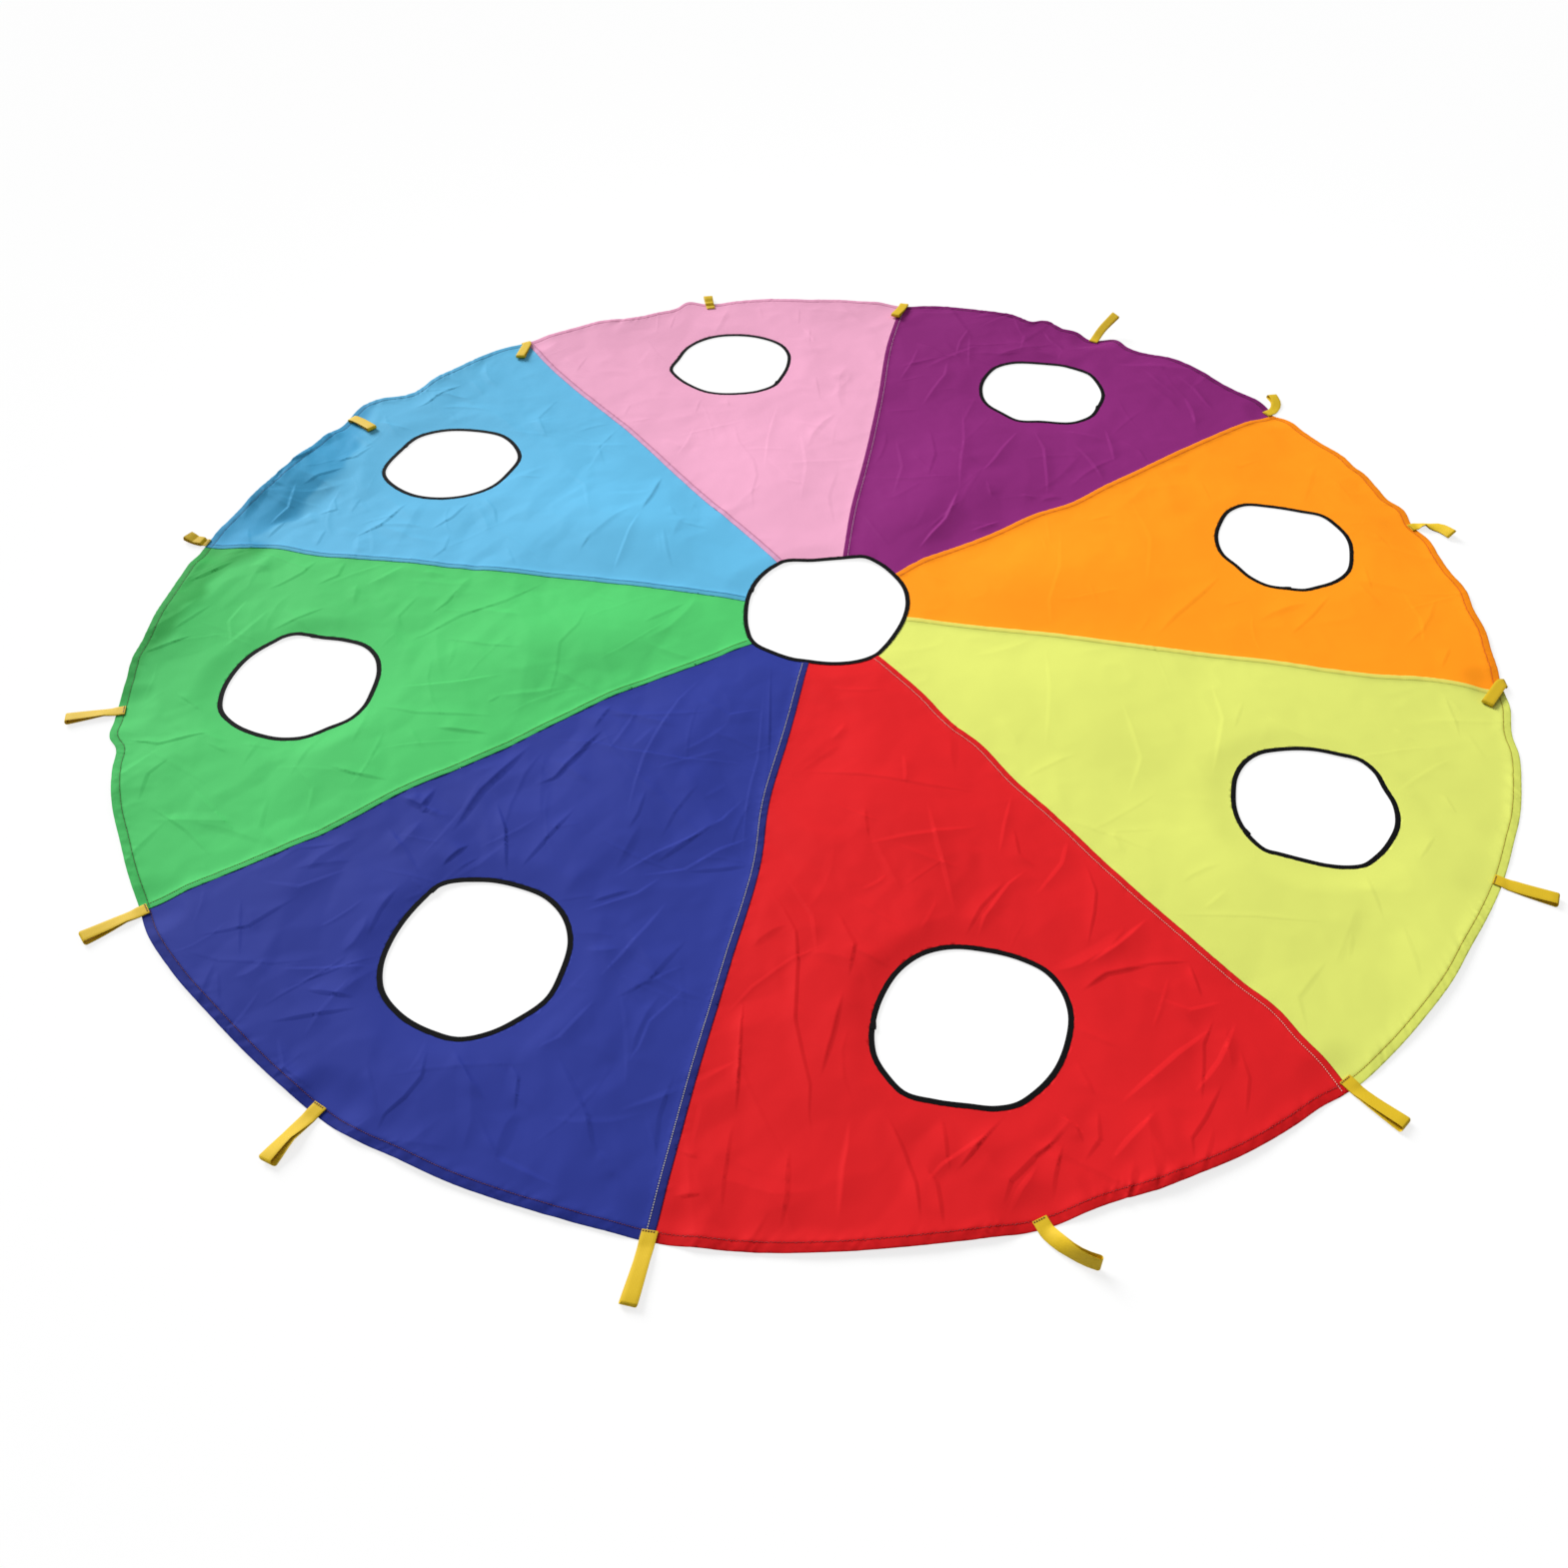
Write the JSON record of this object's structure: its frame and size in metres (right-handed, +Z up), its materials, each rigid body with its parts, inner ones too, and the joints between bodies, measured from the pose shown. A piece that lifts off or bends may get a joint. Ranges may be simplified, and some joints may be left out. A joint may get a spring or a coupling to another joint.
{
  "type": "play parachute",
  "caption": "Round play parachute of bright cloth gores laid out flat, with a tape-bound hole in each gore and in the middle, and webbing loop handles that fold at the hem.",
  "frame": {"origin": "middle of the canopy, on the floor that its hem lies on", "axes": "+Z up from the floor, -Y towards the viewer of the picture, +X to the viewer's right"},
  "size_m": [3.1299, 3.1383, 0.0592],
  "materials": {
    "blue_cloth": "smooth taffeta with a slight sheen",
    "red_cloth": "smooth taffeta with a slight sheen",
    "lime_cloth": "smooth taffeta with a slight sheen",
    "orange_cloth": "smooth taffeta with a slight sheen",
    "purple_cloth": "smooth taffeta with a slight sheen",
    "pink_cloth": "smooth taffeta with a slight sheen",
    "sky_cloth": "smooth taffeta with a slight sheen",
    "green_cloth": "smooth taffeta with a slight sheen",
    "binding_tape": "matt woven tape",
    "handle_webbing": "matt woven webbing"
  },
  "bodies": {
    "root": {"panel_blue": "blue_cloth", "panel_red": "red_cloth", "panel_lime": "lime_cloth", "panel_orange": "orange_cloth", "panel_purple": "purple_cloth", "panel_pink": "pink_cloth", "panel_sky": "sky_cloth", "panel_green": "green_cloth", "binding_blue": "binding_tape", "binding_red": "binding_tape", "binding_lime": "binding_tape", "binding_orange": "binding_tape", "binding_purple": "binding_tape", "binding_pink": "binding_tape", "binding_sky": "binding_tape", "binding_green": "binding_tape", "binding_centre": "binding_tape", "handle_tab_green_blue": "handle_webbing", "handle_tab_blue": "handle_webbing", "handle_tab_blue_red": "handle_webbing", "handle_tab_red": "handle_webbing", "handle_tab_red_lime": "handle_webbing", "handle_tab_lime": "handle_webbing", "handle_tab_lime_orange": "handle_webbing", "handle_tab_orange": "handle_webbing", "handle_tab_orange_purple": "handle_webbing", "handle_tab_purple": "handle_webbing", "handle_tab_purple_pink": "handle_webbing", "handle_tab_pink": "handle_webbing", "handle_tab_pink_sky": "handle_webbing", "handle_tab_sky": "handle_webbing", "handle_tab_sky_green": "handle_webbing", "handle_tab_green": "handle_webbing"},
    "handle_green_blue": {"handle_loop_green_blue": "handle_webbing"},
    "handle_blue": {"handle_loop_blue": "handle_webbing"},
    "handle_blue_red": {"handle_loop_blue_red": "handle_webbing"},
    "handle_red": {"handle_loop_red": "handle_webbing"},
    "handle_red_lime": {"handle_loop_red_lime": "handle_webbing"},
    "handle_lime": {"handle_loop_lime": "handle_webbing"},
    "handle_lime_orange": {"handle_loop_lime_orange": "handle_webbing"},
    "handle_orange": {"handle_loop_orange": "handle_webbing"},
    "handle_orange_purple": {"handle_loop_orange_purple": "handle_webbing"},
    "handle_purple": {"handle_loop_purple": "handle_webbing"},
    "handle_purple_pink": {"handle_loop_purple_pink": "handle_webbing"},
    "handle_pink": {"handle_loop_pink": "handle_webbing"},
    "handle_pink_sky": {"handle_loop_pink_sky": "handle_webbing"},
    "handle_sky": {"handle_loop_sky": "handle_webbing"},
    "handle_sky_green": {"handle_loop_sky_green": "handle_webbing"},
    "handle_green": {"handle_loop_green": "handle_webbing"}
  },
  "joints": [
    {"name": "handle_green_blue_fold", "type": "hinge", "parent": "root", "child": "handle_green_blue", "pos_m": [-1.2011, -0.89854, 0.00535], "axis": [-0.599, 0.8007, 0], "range_deg": [0, 175]},
    {"name": "handle_blue_fold", "type": "hinge", "parent": "root", "child": "handle_blue", "pos_m": [-0.76581, -1.28978, 0.00535], "axis": [-0.8599, 0.5105, 0], "range_deg": [0, 175]},
    {"name": "handle_blue_red_fold", "type": "hinge", "parent": "root", "child": "handle_blue_red", "pos_m": [-0.21394, -1.48466, 0.00535], "axis": [-0.9898, 0.1426, 0], "range_deg": [0, 175]},
    {"name": "handle_red_fold", "type": "hinge", "parent": "root", "child": "handle_red", "pos_m": [0.3705, -1.45352, 0.00535], "axis": [-0.969, -0.247, 0], "range_deg": [0, 175]},
    {"name": "handle_red_lime_fold", "type": "hinge", "parent": "root", "child": "handle_red_lime", "pos_m": [0.89854, -1.2011, 0.00535], "axis": [-0.8007, -0.599, 0], "range_deg": [0, 175]},
    {"name": "handle_lime_fold", "type": "hinge", "parent": "root", "child": "handle_lime", "pos_m": [1.28978, -0.76581, 0.00535], "axis": [-0.5105, -0.8599, 0], "range_deg": [0, 175]},
    {"name": "handle_lime_orange_fold", "type": "hinge", "parent": "root", "child": "handle_lime_orange", "pos_m": [1.48466, -0.21394, 0.00535], "axis": [-0.1426, -0.9898, 0], "range_deg": [-175, 0]},
    {"name": "handle_orange_fold", "type": "hinge", "parent": "root", "child": "handle_orange", "pos_m": [1.45352, 0.3705, 0.00535], "axis": [0.247, -0.969, 0], "range_deg": [0, 175]},
    {"name": "handle_orange_purple_fold", "type": "hinge", "parent": "root", "child": "handle_orange_purple", "pos_m": [1.2011, 0.89854, 0.00535], "axis": [0.599, -0.8007, 0], "range_deg": [0, 175]},
    {"name": "handle_purple_fold", "type": "hinge", "parent": "root", "child": "handle_purple", "pos_m": [0.76581, 1.28978, 0.00535], "axis": [0.8599, -0.5105, 0], "range_deg": [-30, 145]},
    {"name": "handle_purple_pink_fold", "type": "hinge", "parent": "root", "child": "handle_purple_pink", "pos_m": [0.21394, 1.48466, 0.00535], "axis": [0.9898, -0.1426, 0], "range_deg": [-175, 0]},
    {"name": "handle_pink_fold", "type": "hinge", "parent": "root", "child": "handle_pink", "pos_m": [-0.3705, 1.45352, 0.00535], "axis": [0.969, 0.247, 0], "range_deg": [0, 175]},
    {"name": "handle_pink_sky_fold", "type": "hinge", "parent": "root", "child": "handle_pink_sky", "pos_m": [-0.89854, 1.2011, 0.00535], "axis": [0.8007, 0.599, 0], "range_deg": [-175, 0]},
    {"name": "handle_sky_fold", "type": "hinge", "parent": "root", "child": "handle_sky", "pos_m": [-1.28978, 0.76581, 0.00535], "axis": [0.5105, 0.8599, 0], "range_deg": [-175, 0]},
    {"name": "handle_sky_green_fold", "type": "hinge", "parent": "root", "child": "handle_sky_green", "pos_m": [-1.48466, 0.21394, 0.00535], "axis": [0.1426, 0.9898, 0], "range_deg": [0, 175]},
    {"name": "handle_green_fold", "type": "hinge", "parent": "root", "child": "handle_green", "pos_m": [-1.45352, -0.3705, 0.00535], "axis": [-0.247, 0.969, 0], "range_deg": [0, 175]}
  ]
}
